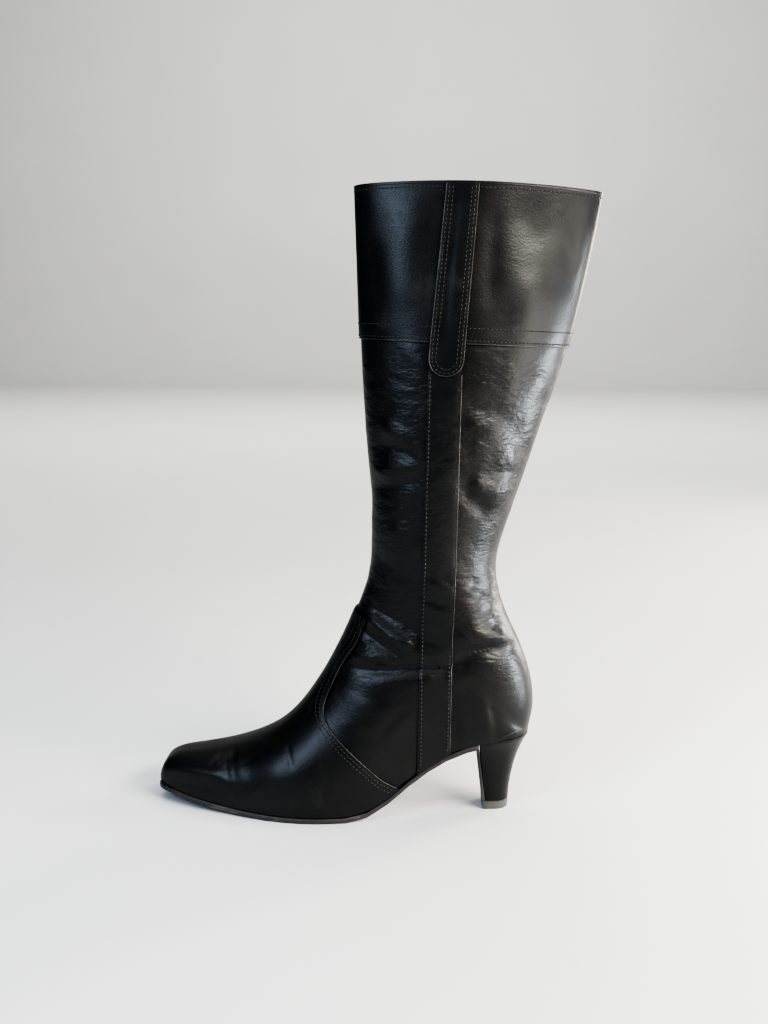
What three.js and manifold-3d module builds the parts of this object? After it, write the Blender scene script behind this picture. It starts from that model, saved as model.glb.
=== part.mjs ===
// A left knee-high leather boot with a square toe and a slim covered heel, in millimetres.
// The origin is the middle of the heel's top piece on the floor. The toe points to -X, the outer
// side of the leg to -Y, and +Z is up.
import * as THREE from "three";
import { mergeVertices } from "three/addons/utils/BufferGeometryUtils.js";
import Module from "manifold-3d";

const wasm = await Module();
wasm.setup();

// Driving dimensions of the last
const footLength = 259; // feather line, from the toe to the back of the heel seat
const counterReach = 25.9; // how far the counter stands behind the middle of the top piece
const toeSwing = 15; // the toe's turn towards the inner side
const toeWidth = 38;
const toeHeight = 24;
const toeSpring = 8;
const ballWidth = 76;
const heelWidth = 52;
const seatHeight = 52.2; // heel seat above the ball
const instepHeight = 99; // instep above the heel seat

// Driving dimensions of the leg
const ankleHeight = 175; // top of the ankle above the heel seat
const ankleWidth = 72;
const shaftHeight = 363.5; // collar above the heel seat
const calfWidth = 78;
const shinFlare = 11.3; // how far the front leans out from ankle to collar
const calfFlare = 54.6; // how far the back leans out from ankle to collar
const collarCrest = 2.5; // how much the collar's sides stand above a straight line

// Leather, sole and heel
const wall = 1.8;
const overlay = 1.1; // thickness of a panel that lies on the wall
const gap = 0.3; // between pieces that meet
const soleThickness = 3.5;
const soleEdge = 1; // sole edge beyond the vamp
const waistEdge = 0.8; // sole edge beyond the wall, in front of the heel
const edgeRound = 0.7;
const insoleThickness = 2;
const insoleEase = 1.3; // keeps the insole off the wall's turn above the feather line
const flapThickness = 2.2; // the sole's tail, turned down the front of the heel
const breastReach = 12.1; // front of the heel at its seat, ahead of the middle of the top piece
const topPieceLength = 18.6;
const topPieceWidth = 22;
const topPieceThickness = 6;
const topPieceTaper = 0.4; // how far the top piece draws in towards the floor

// Panels
const cuffHeight = 97.5; // depth of the cuff at the shin
const cuffRise = 6.5; // how much lower its edge lies at the calf
const stripWidth = 21.6;
const tabWidth = 22;
const tabTopWidth = 20.4;
const tabLength = 121;

const lowSteps = 5; // columns from the feather line to the widest place
const highSteps = 9; // columns from there to the top of the section
const side = lowSteps + highSteps;
const columns = 2 * side;
const toeCornerTurn = 0.3; // how far the toe edge's outward directions fan out at its corners
const far = 600; // reach of a cutting form, past any face of the boot

const { lerp, clamp } = THREE.MathUtils;
const featherBase = soleThickness + gap; // feather line above the floor under the ball
const seatTop = featherBase + seatHeight;
const collarTop = seatTop + shaftHeight;
const along = (share) => counterReach - footLength * (1 - share);

// A short table with named columns: each row becomes an object.
function table(names, rows) {
  const keys = names.split(" ");
  return rows.map((row) => Object.fromEntries(keys.map((key, i) => [key, row[i]])));
}

// Feather line from the side: shares of the foot's length, toe spring and seat height.
const featherRows = table("along spring seat", [
  [-0.1, 1.8, 0],
  [0, 1, 0],
  [0.058, 0.71, 0],
  [0.127, 0.44, 0],
  [0.205, 0.2, 0],
  [0.282, 0.05, 0],
  [0.34, 0, 0],
  [0.494, 0, 0],
  [0.529, 0, 0.01],
  [0.553, 0, 0.04],
  [0.579, 0, 0.107],
  [0.606, 0, 0.188],
  [0.63, 0, 0.278],
  [0.656, 0, 0.389],
  [0.699, 0, 0.555],
  [0.776, 0, 0.784],
  [0.846, 0, 0.91],
  [0.9, 0, 0.962],
  [0.99, 0, 1],
  [1.1, 0, 1],
]);

// A curve through one column of a table that stays level where two rows agree.
function curveThrough(rows, key, column, at) {
  const last = rows.length - 2;
  let i = 0;
  while (i < last && rows[i + 1][key] < at) i++;
  const slope = (k) => {
    const j = clamp(k, 0, last);
    return (rows[j + 1][column] - rows[j][column]) / (rows[j + 1][key] - rows[j][key]);
  };
  const tangent = (k) => (slope(k - 1) * slope(k) > 0 ? (slope(k - 1) + slope(k)) / 2 : 0);
  const span = rows[i + 1][key] - rows[i][key];
  const t = clamp((at - rows[i][key]) / span, 0, 1);
  const t2 = t * t;
  const t3 = t2 * t;
  return (
    (2 * t3 - 3 * t2 + 1) * rows[i][column] +
    (t3 - 2 * t2 + t) * span * tangent(i) +
    (3 * t2 - 2 * t3) * rows[i + 1][column] +
    (t3 - t2) * span * tangent(i + 1)
  );
}

// Height of the feather line, where the upper meets sole and heel.
function featherHeight(x) {
  const at = (x - along(0)) / footLength;
  const spring = curveThrough(featherRows, "along", "spring", at);
  const seat = curveThrough(featherRows, "along", "seat", at);
  return featherBase + toeSpring * spring + seatHeight * seat;
}

// Sections of the last. Each stands between a point on its top line and one on the feather line.
// top and bottom are shares of the foot's length; up is the section's rise, a share of the zone's
// height. lateral and medial are half widths at the feather line and wideLateral and wideMedial
// the greatest ones, shares of the zone's width. low is where the section is widest, crown and
// tuck how square it is above and below that place, and steps the rings up to the next row.
const footColumns =
  "steps top up bottom swing lateral medial wideLateral wideMedial low crown tuck";

const toeRows = table(footColumns, [
  [1, 0, 0, 0, 1, 0.33, 0.33, 0.33, 0.33, 0.15, 4, 2],
  [1, -0.003, 0.234, 0.003, 1, 0.4, 0.4, 0.4, 0.4, 0.15, 4.6, 2],
  [1, 0.003, 0.476, 0.011, 1, 0.46, 0.44, 0.46, 0.44, 0.15, 4.2, 2],
  [1, 0.016, 0.69, 0.025, 0.97, 0.52, 0.48, 0.52, 0.48, 0.15, 3.7, 2],
  [2, 0.046, 0.88, 0.053, 0.88, 0.6, 0.54, 0.6, 0.54, 0.15, 3.2, 2],
  [3, 0.1, 1.08, 0.098, 0.7, 0.71, 0.62, 0.72, 0.63, 0.16, 2.9, 2],
]);

const ballRows = table(footColumns, [
  [3, 0.219, 0.375, 0.212, 0.43, 0.46, 0.37, 0.474, 0.384, 0.2, 2.5, 1.7],
  [2, 0.334, 0.544, 0.351, 0.27, 0.568, 0.389, 0.594, 0.415, 0.22, 2.15, 1.6],
  [2, 0.382, 0.674, 0.432, 0.27, 0.588, 0.362, 0.62, 0.409, 0.24, 2, 1.6],
  [3, 0.416, 0.798, 0.506, 0.27, 0.555, 0.316, 0.61, 0.395, 0.28, 1.95, 1.6],
  [3, 0.476, 0.842, 0.668, 0.2, 0.425, 0.23, 0.533, 0.395, 0.38, 1.9, 1.5],
]);

const seatRows = table(footColumns, [
  [2, 0.519, 0.865, 0.822, 0.1, 0.51, 0.413, 0.702, 0.606, 0.45, 1.95, 1.35],
  [1, 0.532, 0.903, 0.884, 0.03, 0.495, 0.463, 0.678, 0.637, 0.48, 1.97, 1.42],
  [1, 0.539, 0.937, 0.934, 0, 0.45, 0.45, 0.662, 0.662, 0.5, 2, 1.55],
  [1, 0.544, 0.965, 0.963, 0, 0.352, 0.352, 0.658, 0.658, 0.5, 2, 1.7],
  [1, 0.547, 0.988, 0.981, 0, 0.202, 0.202, 0.656, 0.656, 0.5, 2.05, 1.85],
  [1, 0.55, 1.01, 0.987, 0, 0, 0, 0.654, 0.654, 0.5, 2.1, 2.3],
]);

// Closed rings of the ankle: rise is a share of the way from the instep, at the front, or from
// the heel seat, at the back, to the top of the ankle, and half of the ankle's width.
const ankleRows = table("steps top frontRise bottom backRise half low crown tuck", [
  [1, 0.554, 0.066, 0.9995, 0.069, 0.464, 0.5, 2.1, 2.3],
  [2, 0.558, 0.125, 1.001, 0.137, 0.466, 0.5, 2.1, 2.2],
  [2, 0.564, 0.276, 0.974, 0.306, 0.48, 0.5, 2.1, 2.05],
  [2, 0.566, 0.454, 0.915, 0.491, 0.493, 0.5, 2.1, 1.95],
  [2, 0.566, 0.658, 0.892, 0.674, 0.5, 0.5, 2.1, 1.9],
  [1, 0.566, 0.868, 0.931, 0.86, 0.514, 0.5, 2.1, 1.85],
]);

// Closed rings of the calf, as shares of the two flares, of the rise from the top of the ankle to
// the collar, of the calf's width and of the collar's crest.
const calfRows = table("steps shin frontRise calf backRise half low crown tuck crest", [
  [1, 0.274, 0.08, 0.218, 0.064, 0.49, 0.5, 2.1, 1.8, 0],
  [1, 0.43, 0.2, 0.34, 0.19, 0.489, 0.5, 2.1, 1.75, 0],
  [2, 0.566, 0.318, 0.51, 0.318, 0.487, 0.5, 2.1, 1.7, 0],
  [2, 0.788, 0.647, 0.788, 0.637, 0.426, 0.48, 2.05, 1.55, 0.3],
  [1, 1, 1, 1, 0.979, 0.349, 0.47, 2, 1.45, 1],
]);

function footSection(row, width, height) {
  const bottomX = along(row.bottom);
  const bottomZ = featherHeight(bottomX);
  return {
    steps: row.steps,
    topX: along(row.top),
    topZ: bottomZ + height * row.up,
    bottomX,
    bottomZ,
    centre: toeSwing * row.swing,
    lateral: width * row.lateral,
    medial: width * row.medial,
    wideLateral: width * row.wideLateral,
    wideMedial: width * row.wideMedial,
    low: row.low,
    crown: row.crown,
    tuck: row.tuck,
    crest: 0,
  };
}

function legSection(row, front, back, half, crest) {
  return {
    steps: row.steps,
    topX: front.x,
    topZ: front.z,
    bottomX: back.x,
    bottomZ: back.z,
    centre: 0,
    lateral: 0,
    medial: 0,
    wideLateral: half,
    wideMedial: half,
    low: row.low,
    crown: row.crown,
    tuck: row.tuck,
    crest,
  };
}

const footSections = [
  ...toeRows.map((row) => footSection(row, toeWidth, toeHeight)),
  ...ballRows.map((row) => footSection(row, ballWidth, instepHeight)),
  ...seatRows.map((row) => footSection(row, heelWidth, instepHeight)),
];

const ankleTop = seatTop + ankleHeight;
const lastAnkle = ankleRows[ankleRows.length - 1];
const legSections = [
  ...ankleRows.map((row) =>
    legSection(
      row,
      { x: along(row.top), z: lerp(seatTop + instepHeight, ankleTop, row.frontRise) },
      { x: along(row.bottom), z: lerp(seatTop, ankleTop, row.backRise) },
      ankleWidth * row.half,
      0,
    ),
  ),
  ...calfRows.map((row) =>
    legSection(
      row,
      {
        x: along(lastAnkle.top) - shinFlare * row.shin,
        z: lerp(ankleTop, collarTop, row.frontRise),
      },
      {
        x: along(lastAnkle.bottom) + calfFlare * row.calf,
        z: lerp(ankleTop, collarTop, row.backRise),
      },
      calfWidth * row.half,
      collarCrest * row.crest,
    ),
  ),
];

// Distance from one section to the next, over its top and bottom points.
function reach(a, b) {
  const top = Math.hypot(a.topX - b.topX, a.topZ - b.topZ);
  const bottom = Math.hypot(a.bottomX - b.bottomX, a.bottomZ - b.bottomZ);
  return Math.max((top + bottom) / 2, 1e-3);
}

// Smooth rings through the rows. before and after are the rows past either end.
function smoothRings(rows, before, after) {
  const all = [before, ...rows, after];
  const tangent = (i, key) => {
    const back = reach(all[i - 1], all[i]);
    const ahead = reach(all[i], all[i + 1]);
    const slopeBack = (all[i][key] - all[i - 1][key]) / back;
    const slopeAhead = (all[i + 1][key] - all[i][key]) / ahead;
    return (slopeBack * ahead + slopeAhead * back) / (back + ahead);
  };
  const rings = [];
  for (let i = 1; i < all.length - 2; i++) {
    const span = reach(all[i], all[i + 1]);
    for (let step = 0; step < all[i].steps; step++) {
      const t = step / all[i].steps;
      const ring = {};
      for (const key of Object.keys(all[i])) {
        ring[key] =
          (2 * t ** 3 - 3 * t ** 2 + 1) * all[i][key] +
          (t ** 3 - 2 * t ** 2 + t) * span * tangent(i, key) +
          (3 * t ** 2 - 2 * t ** 3) * all[i + 1][key] +
          (t ** 3 - t ** 2) * span * tangent(i + 1, key);
      }
      rings.push(ring);
    }
  }
  rings.push({ ...rows[rows.length - 1] });
  return rings;
}

// A row as far past the end of a table as its neighbour is before it.
function beyond(end, neighbour) {
  return Object.fromEntries(Object.keys(end).map((key) => [key, 2 * end[key] - neighbour[key]]));
}

// At the back of the heel the feather line turns round, so its two sides change places there.
const backSection = footSections[footSections.length - 1];
const beforeBack = footSections[footSections.length - 2];
const pastBack = {
  ...legSections[0],
  bottomX: beforeBack.bottomX,
  bottomZ: beforeBack.bottomZ,
  lateral: -beforeBack.lateral,
  medial: -beforeBack.medial,
};
const footRings = smoothRings(footSections, beyond(footSections[0], footSections[1]), pastBack);
const legStart = { ...backSection, steps: 1 };
const legRings = smoothRings(
  [legStart, ...legSections],
  beyond(legStart, legSections[0]),
  beyond(legSections[legSections.length - 1], legSections[legSections.length - 2]),
);
for (const ring of footRings) ring.bottomZ = featherHeight(ring.bottomX);
for (const ring of legRings) {
  ring.lateral = 0;
  ring.medial = 0;
}
const rings = [...footRings, ...legRings.slice(1)];
const backRing = footRings.length - 1; // from here up the rings are closed
const topRing = rings.length - 1;

// One point of a section, from the lateral feather line over the top to the medial one.
function sectionPoint(ring, column) {
  const lateral = column < side;
  const step = lateral ? column : columns - column;
  const edge = lateral ? ring.lateral : ring.medial;
  const wide = lateral ? ring.wideLateral : ring.wideMedial;
  let up;
  let out;
  if (step <= lowSteps) {
    const angle = ((step / lowSteps) * Math.PI) / 2;
    up = ring.low * (1 - Math.cos(angle) ** (2 / ring.tuck));
    out = edge + (wide - edge) * Math.sin(angle) ** (2 / ring.tuck);
  } else {
    const angle = (((step - lowSteps) / highSteps) * Math.PI) / 2;
    up = ring.low + (1 - ring.low) * Math.sin(angle) ** (2 / ring.crown);
    out = step === side ? 0 : wide * Math.cos(angle) ** (2 / ring.crown);
  }
  return new THREE.Vector3(
    lerp(ring.bottomX, ring.topX, up),
    ring.centre + (lateral ? -out : out),
    lerp(ring.bottomZ, ring.topZ, up) + 4 * ring.crest * up * (1 - up),
  );
}

// The surface of the last and leg as a net of rings and columns.
const net = rings.map((ring) =>
  Array.from({ length: columns + 1 }, (_, column) => sectionPoint(ring, column)),
);

// A closed ring's two ends are one point, and so are the toe edge's columns at each corner.
function wrap(row, column) {
  if (row >= backRing && column === columns) return 0;
  if (row === 0 && column <= lowSteps) return 0;
  if (row === 0 && column >= columns - lowSteps) return columns;
  return column;
}

// Outward directions, level along the feather line and the collar so that rims stay flat.
const outward = net.map((row) => row.map(() => new THREE.Vector3()));
for (let row = 0; row < topRing; row++) {
  for (let column = 0; column < columns; column++) {
    const corners = [
      [row, column],
      [row + 1, column],
      [row + 1, column + 1],
      [row, column + 1],
    ];
    const points = corners.map(([r, c]) => net[r][c]);
    const across = points[2].clone().sub(points[0]);
    const face = across.cross(points[3].clone().sub(points[1]));
    for (const [r, c] of corners) outward[r][wrap(r, c)].add(face);
  }
}
outward[0].forEach((direction, c) => {
  const across = (net[0][c].y - rings[0].centre) / rings[0].lateral;
  direction.set(-1, across * toeCornerTurn, 0);
});
outward.forEach((row, r) => {
  row.forEach((direction, c) => {
    const onEnd = c === 0 || c === columns;
    if (r === 0 || r === topRing || (r <= backRing && onEnd)) direction.z = 0;
    direction.normalize();
  });
});

function netPoint(row, column, offset) {
  const c = wrap(row, column);
  return net[row][c].clone().addScaledVector(outward[row][c], offset);
}

// Places of the net along the feather line, from the back of the heel round the toe and back.
const featherPlaces = [];
for (let row = backRing; row >= 0; row--) featherPlaces.push([row, 0]);
for (let column = lowSteps + 1; column < columns - lowSteps; column++) {
  featherPlaces.push([0, column]);
}
featherPlaces.push([0, columns]);
for (let row = 1; row < backRing; row++) featherPlaces.push([row, columns]);

function solidFrom(geometry) {
  geometry.deleteAttribute("normal");
  geometry.deleteAttribute("uv");
  const merged = mergeVertices(geometry, 1e-4);
  return new wasm.Manifold(
    new wasm.Mesh({
      numProp: 3,
      vertProperties: merged.attributes.position.array,
      triVerts: new Uint32Array(merged.index.array),
    }),
  );
}

function solidFromFaces(points, faces) {
  const geometry = new THREE.BufferGeometry();
  geometry.setAttribute(
    "position",
    new THREE.Float32BufferAttribute(points.flatMap((point) => point.toArray()), 3),
  );
  geometry.setIndex(faces.flat());
  return solidFrom(geometry);
}

// The skin between two offsets of the net, closed along the collar and the feather line.
function skin(inner, outer) {
  const points = [];
  const index = new Map();
  const place = (row, column, offset) => {
    const c = wrap(row, column);
    const key = `${row} ${c} ${offset}`;
    if (!index.has(key)) {
      index.set(key, points.length);
      points.push(netPoint(row, c, offset));
    }
    return index.get(key);
  };
  const faces = [];
  const face = (...corners) => {
    if (new Set(corners).size === 3) faces.push(corners);
  };
  const quad = (a, b, c, d) => {
    face(a, b, c);
    face(a, c, d);
  };
  for (let row = 0; row < topRing; row++) {
    for (let column = 0; column < columns; column++) {
      const corners = (offset) => [
        place(row, column, offset),
        place(row + 1, column, offset),
        place(row + 1, column + 1, offset),
        place(row, column + 1, offset),
      ];
      quad(...corners(outer));
      const [a, b, c, d] = corners(inner);
      quad(a, d, c, b);
    }
  }
  const rim = (from, to) =>
    quad(place(...from, outer), place(...to, outer), place(...to, inner), place(...from, inner));
  for (let column = 0; column < columns; column++) rim([topRing, column + 1], [topRing, column]);
  featherPlaces.forEach((from, i) => rim(from, featherPlaces[(i + 1) % featherPlaces.length]));
  return solidFromFaces(points, faces);
}

// A solid through outlines of equal length. Each end is closed by strips between the points that
// face each other across the outline, which may start at a point of its own.
function loft(outlines, startsAtPoint) {
  const count = outlines[0].length;
  const faces = [];
  for (let level = 0; level < outlines.length - 1; level++) {
    for (let i = 0; i < count; i++) {
      const a = level * count + i;
      const b = level * count + ((i + 1) % count);
      faces.push([a, b, b + count], [a, b + count, a + count]);
    }
  }
  const facing = (i) => (startsAtPoint ? (count - i) % count : count - 1 - i);
  for (let i = 0; i < Math.floor(count / 2); i++) {
    const strip = [i, i + 1, facing(i + 1), facing(i)];
    for (const corners of [
      [strip[0], strip[2], strip[1]],
      [strip[0], strip[3], strip[2]],
    ]) {
      if (new Set(corners).size < 3) continue;
      const lift = (outlines.length - 1) * count;
      faces.push(corners);
      faces.push([...corners].reverse().map((corner) => corner + lift));
    }
  }
  return solidFromFaces(outlines.flat(), faces);
}

// A side outline, given as points of X and Z, carried through from one Y to another.
function sidePrism(points, fromY, toY) {
  const shape = new THREE.Shape(points.map(([x, z]) => new THREE.Vector2(x, z)));
  const geometry = new THREE.ExtrudeGeometry(shape, { depth: toY - fromY, bevelEnabled: false });
  geometry.rotateX(Math.PI / 2);
  geometry.translate(0, toY, 0);
  return solidFrom(geometry);
}

function meshOf(name, solid, material) {
  const made = solid.getMesh();
  const geometry = new THREE.BufferGeometry();
  geometry.setAttribute(
    "position",
    new THREE.Float32BufferAttribute(Float32Array.from(made.vertProperties), 3),
  );
  geometry.setIndex(Array.from(made.triVerts));
  geometry.computeVertexNormals();
  const mesh = new THREE.Mesh(geometry, material);
  mesh.name = name;
  return mesh;
}

// Front edge of the vamp's seam, seen from the side: shares of foot length and instep top.
const vampSeam = table("along up", [
  [0.526, 0.908],
  [0.554, 0.882],
  [0.55, 0.84],
  [0.53, 0.76],
  [0.508, 0.705],
  [0.488, 0.645],
  [0.471, 0.585],
  [0.456, 0.53],
  [0.449, 0.49],
  [0.449, 0.46],
  [0.46, 0.421],
  [0.487, 0.37],
  [0.525, 0.31],
  [0.561, 0.254],
  [0.597, 0.196],
  [0.632, 0.155],
  [0.66, 0.13],
]);

function makeVamp() {
  const instepTop = seatTop + instepHeight;
  const seam = vampSeam.map(({ along: share, up }) => [along(share), instepTop * up]);
  const last = seam[seam.length - 1];
  const ahead = along(0) - far;
  const above = seam[0][1] + wall;
  const outline = [[ahead, above], [seam[0][0], above], ...seam, [last[0], -far], [ahead, -far]];
  return skin(gap, gap + overlay).intersect(sidePrism(outline, -far, far));
}

// The cuff's lower edge is straight from the shin to the calf.
const shinX = along(lastAnkle.top) - shinFlare;
const calfX = along(lastAnkle.bottom) + calfFlare;
const cuffEdge = (x) => collarTop - cuffHeight - (cuffRise * (x - shinX)) / (calfX - shinX);

function makeCuff() {
  const outline = [
    [-far, cuffEdge(-far)],
    [far, cuffEdge(far)],
    [far, far],
    [-far, far],
  ];
  return skin(gap, gap + overlay).intersect(sidePrism(outline, -far, far));
}

// Middle line of the side strip: shares of the foot's length and of the collar's height.
const stripRows = table("along up", [
  [0.733, 0],
  [0.735, 0.143],
  [0.737, 0.277],
  [0.741, 0.366],
  [0.746, 0.553],
  [0.751, 0.719],
  [0.791, 1],
]);
const stripMiddle = (z) => along(curveThrough(stripRows, "up", "along", z / collarTop));

function makeStrip(inner) {
  const edge = (way) =>
    stripRows.slice(0, -1).map(({ up }) => {
      const z = collarTop * up;
      return [stripMiddle(z) + (way * stripWidth) / 2, z];
    });
  const topOf = (way) => {
    const x = stripMiddle(cuffEdge(0)) + (way * stripWidth) / 2;
    return [x, cuffEdge(x) - gap];
  };
  const outline = [...edge(-1), topOf(-1), topOf(1), ...edge(1).reverse()];
  const prism = sidePrism(outline, inner ? 0 : -far, inner ? far : 0);
  return skin(gap, gap + overlay).intersect(prism);
}

// The tab hangs from the collar over cuff and strip, and its lower end is a half circle.
function makeTab(inner) {
  const radius = tabWidth / 2;
  const endZ = collarTop - tabLength + radius;
  const endX = stripMiddle(endZ);
  const turns = 10;
  const outline = [
    [stripMiddle(collarTop) + tabTopWidth / 2, collarTop + wall],
    [stripMiddle(collarTop) - tabTopWidth / 2, collarTop + wall],
  ];
  for (let i = 0; i <= turns; i++) {
    const angle = Math.PI * (1 + i / turns);
    outline.push([endX + radius * Math.cos(angle), endZ + radius * Math.sin(angle)]);
  }
  const prism = sidePrism(outline, inner ? 0 : -far, inner ? far : 0);
  return skin(2 * gap + overlay, 2 * gap + 2 * overlay).intersect(prism);
}

// How far the sole's edge stands out: past the vamp's panel, then drawn in towards the heel.
function soleReach(x) {
  const full = gap + overlay + soleEdge;
  const share = clamp((x - along(0.51)) / (along(0.85) - along(0.51)), 0, 1);
  return lerp(full, waistEdge, share);
}

// Heel profile from the floor to the seat: shares of the way from the top piece's outline to the
// seat's, at the back and in width.
const heelRows = table("up back half", [
  [0, 0, 0],
  [0.16, 0.04, 0.02],
  [0.34, 0.14, 0.09],
  [0.52, 0.29, 0.21],
  [0.68, 0.47, 0.38],
  [0.82, 0.67, 0.6],
  [0.92, 0.84, 0.81],
  [1, 1, 1],
]);
const heelBase = topPieceThickness + gap;
const breastX = -breastReach;

// Outline of the heel seat from the breast's outer corner round the back to the inner corner,
// with X as a share from breast to back and Y as a share of the seat's half width.
const seatBack = net[backRing][0].x;
function seatSide(column) {
  const line = [];
  for (let row = backRing; row > 0; row--) {
    const point = net[row][wrap(row, column)];
    const next = net[row - 1][column];
    line.push(point);
    if (next.x > breastX) continue;
    line.push(point.clone().lerp(next, (point.x - breastX) / (point.x - next.x)));
    break;
  }
  return line;
}
const seatOutline = [...seatSide(0).reverse(), ...seatSide(columns).slice(1)];

// A ring of the heel: share 0 is the top piece's outline and 1 the seat's.
const seatHalf = heelWidth / 2;
const heelHalf = (share) =>
  lerp(topPieceWidth / 2, seatHalf, curveThrough(heelRows, "up", "half", share));
function heelRing(share, height, frontX) {
  const back = curveThrough(heelRows, "up", "back", share);
  const backX = lerp(topPieceLength / 2, seatBack, back);
  return seatOutline.map(({ x, y, z }) => {
    const place = (x - breastX) / (seatBack - breastX);
    const across = (y / seatHalf) * heelHalf(share);
    return new THREE.Vector3(lerp(frontX, backX, place), across, height(z));
  });
}

// Front face of the heel, straight from its seat down to the top piece.
const breastFoot = flapThickness + gap - topPieceLength / 2;
const breastAt = (share) => lerp(breastFoot, breastX, share);
const breastShare = -seatOutline[0].y / seatHalf;

function makeHeel() {
  const rising = (share) => (seat) => lerp(heelBase, seat - gap, share);
  return loft(
    heelRows.map(({ up }) => heelRing(up, rising(up), breastAt(up))),
    false,
  );
}

function makeTopPiece() {
  const level = (z) => () => z;
  const front = -topPieceLength / 2;
  const top = heelRing(0, level(topPieceThickness), front);
  const drawn = 1 - topPieceTaper / (topPieceLength / 2);
  const bottom = top.map(({ x, y }) => new THREE.Vector3(x * drawn, y * drawn, 0));
  return loft([bottom, top], false);
}

// The sole runs from the toe to the heel's front face and turns down it as a flap.
function makeOutsole() {
  const endX = breastX - gap;
  const places = featherPlaces.filter(([row, column]) => net[row][column].x < endX);
  const closing = (row, column) => {
    const inside = net[row][column];
    const outside = net[row + 1][wrap(row + 1, column)];
    const t = (endX - inside.x) / (outside.x - inside.x);
    return inside.clone().lerp(outside, t);
  };
  const first = places[0];
  const final = places[places.length - 1];
  const outlineAt = (drawn, depth) => {
    const end = (row, column) => {
      const point = closing(row, column);
      point.y += Math.sign(point.y) * (soleReach(endX) - drawn);
      point.z -= gap + depth;
      return point;
    };
    const line = places.map(([row, column]) => {
      const { x, z } = net[row][column];
      return netPoint(row, column, soleReach(x) - drawn).setZ(z - gap - depth);
    });
    return [end(...first), ...line, end(...final)];
  };
  const levels = [
    [edgeRound / 2, 0],
    [0, edgeRound],
    [0, soleThickness - edgeRound],
    [edgeRound, soleThickness],
  ];
  const plate = loft(
    levels.map(([drawn, depth]) => outlineAt(drawn, depth)),
    false,
  );
  const flap = loft(
    heelRows.map(({ up }) => {
      const half = breastShare * heelHalf(up);
      const rootZ = featherHeight(endX) - gap - soleThickness / 2;
      const z = lerp(heelBase, rootZ, up);
      const back = breastAt(up) - gap;
      const corners = [
        [back - flapThickness, -half],
        [back, -half],
        [back, half],
        [back - flapThickness, half],
      ];
      return corners.map(([x, y]) => new THREE.Vector3(x, y, z));
    }),
    false,
  );
  return plate.add(flap);
}

function makeInsole() {
  const drawn = -(wall + gap + insoleEase);
  const outlineAt = (depth) =>
    featherPlaces.map(([row, column]) =>
      netPoint(row, column, drawn).setZ(net[row][column].z + depth),
    );
  return loft([outlineAt(insoleThickness), outlineAt(0)], true);
}

const blackLeather = new THREE.MeshStandardMaterial({ color: 0x17171a, roughness: 0.38 });
const liningLeather = new THREE.MeshStandardMaterial({ color: 0x2a2624, roughness: 0.7 });
const soleLeather = new THREE.MeshStandardMaterial({ color: 0x211d1b, roughness: 0.6 });
const hardRubber = new THREE.MeshStandardMaterial({ color: 0x2b2927, roughness: 0.8 });

const boot = new THREE.Group();
boot.add(
  meshOf("upper", skin(-wall, 0), blackLeather),
  meshOf("vamp", makeVamp(), blackLeather),
  meshOf("cuff", makeCuff(), blackLeather),
  meshOf("side_strip_lateral", makeStrip(false), blackLeather),
  meshOf("side_strip_medial", makeStrip(true), blackLeather),
  meshOf("pull_tab_lateral", makeTab(false), blackLeather),
  meshOf("pull_tab_medial", makeTab(true), blackLeather),
  meshOf("insole", makeInsole(), liningLeather),
  meshOf("outsole", makeOutsole(), soleLeather),
  meshOf("heel", makeHeel(), blackLeather),
  meshOf("heel_top_piece", makeTopPiece(), hardRubber),
);

export default boot;
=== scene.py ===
import math

import bmesh
import bpy
import numpy as np
from mathutils import Euler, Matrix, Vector, noise
from mathutils.bvhtree import BVHTree


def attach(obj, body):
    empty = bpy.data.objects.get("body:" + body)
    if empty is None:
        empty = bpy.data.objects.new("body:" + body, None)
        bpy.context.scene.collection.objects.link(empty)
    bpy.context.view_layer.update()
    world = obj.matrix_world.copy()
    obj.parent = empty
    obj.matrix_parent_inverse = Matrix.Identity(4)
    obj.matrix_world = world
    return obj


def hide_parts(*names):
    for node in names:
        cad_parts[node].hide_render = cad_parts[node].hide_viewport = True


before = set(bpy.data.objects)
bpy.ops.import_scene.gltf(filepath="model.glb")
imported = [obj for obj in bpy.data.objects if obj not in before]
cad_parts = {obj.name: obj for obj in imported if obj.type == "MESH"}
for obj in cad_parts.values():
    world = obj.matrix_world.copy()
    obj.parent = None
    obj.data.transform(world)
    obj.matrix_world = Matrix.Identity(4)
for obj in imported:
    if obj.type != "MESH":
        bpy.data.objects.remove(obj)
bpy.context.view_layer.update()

# The skin
# All the boot's leather is pulled over one last, so its panels share one surface. It starts from the
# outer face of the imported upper, made fine enough for the creases that walking has pressed into it.
mm = 0.001
wall = 1.8 * mm
same_place = 0.002 * mm  # corners nearer than this are one
close = 0.006 * mm  # slack for a size read off the mesh
skin_levels = 3
lining_levels = 2


def activate(piece):
    bpy.ops.object.select_all(action="DESELECT")
    piece.select_set(True)
    bpy.context.view_layer.objects.active = piece


def copy_of(source, name):
    piece = bpy.data.objects.new(name, source.data.copy())
    bpy.context.scene.collection.objects.link(piece)
    activate(piece)
    return piece


def merged_node(node, name):
    piece = copy_of(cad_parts[node], name)
    piece.data.materials.clear()
    bpy.ops.object.mode_set(mode="EDIT")
    bpy.ops.mesh.select_mode(type="FACE")
    bpy.ops.mesh.select_all(action="SELECT")
    bpy.ops.mesh.remove_doubles(threshold=same_place)
    bpy.ops.mesh.customdata_custom_splitnormals_clear()
    bpy.ops.object.mode_set(mode="OBJECT")
    return piece


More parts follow.
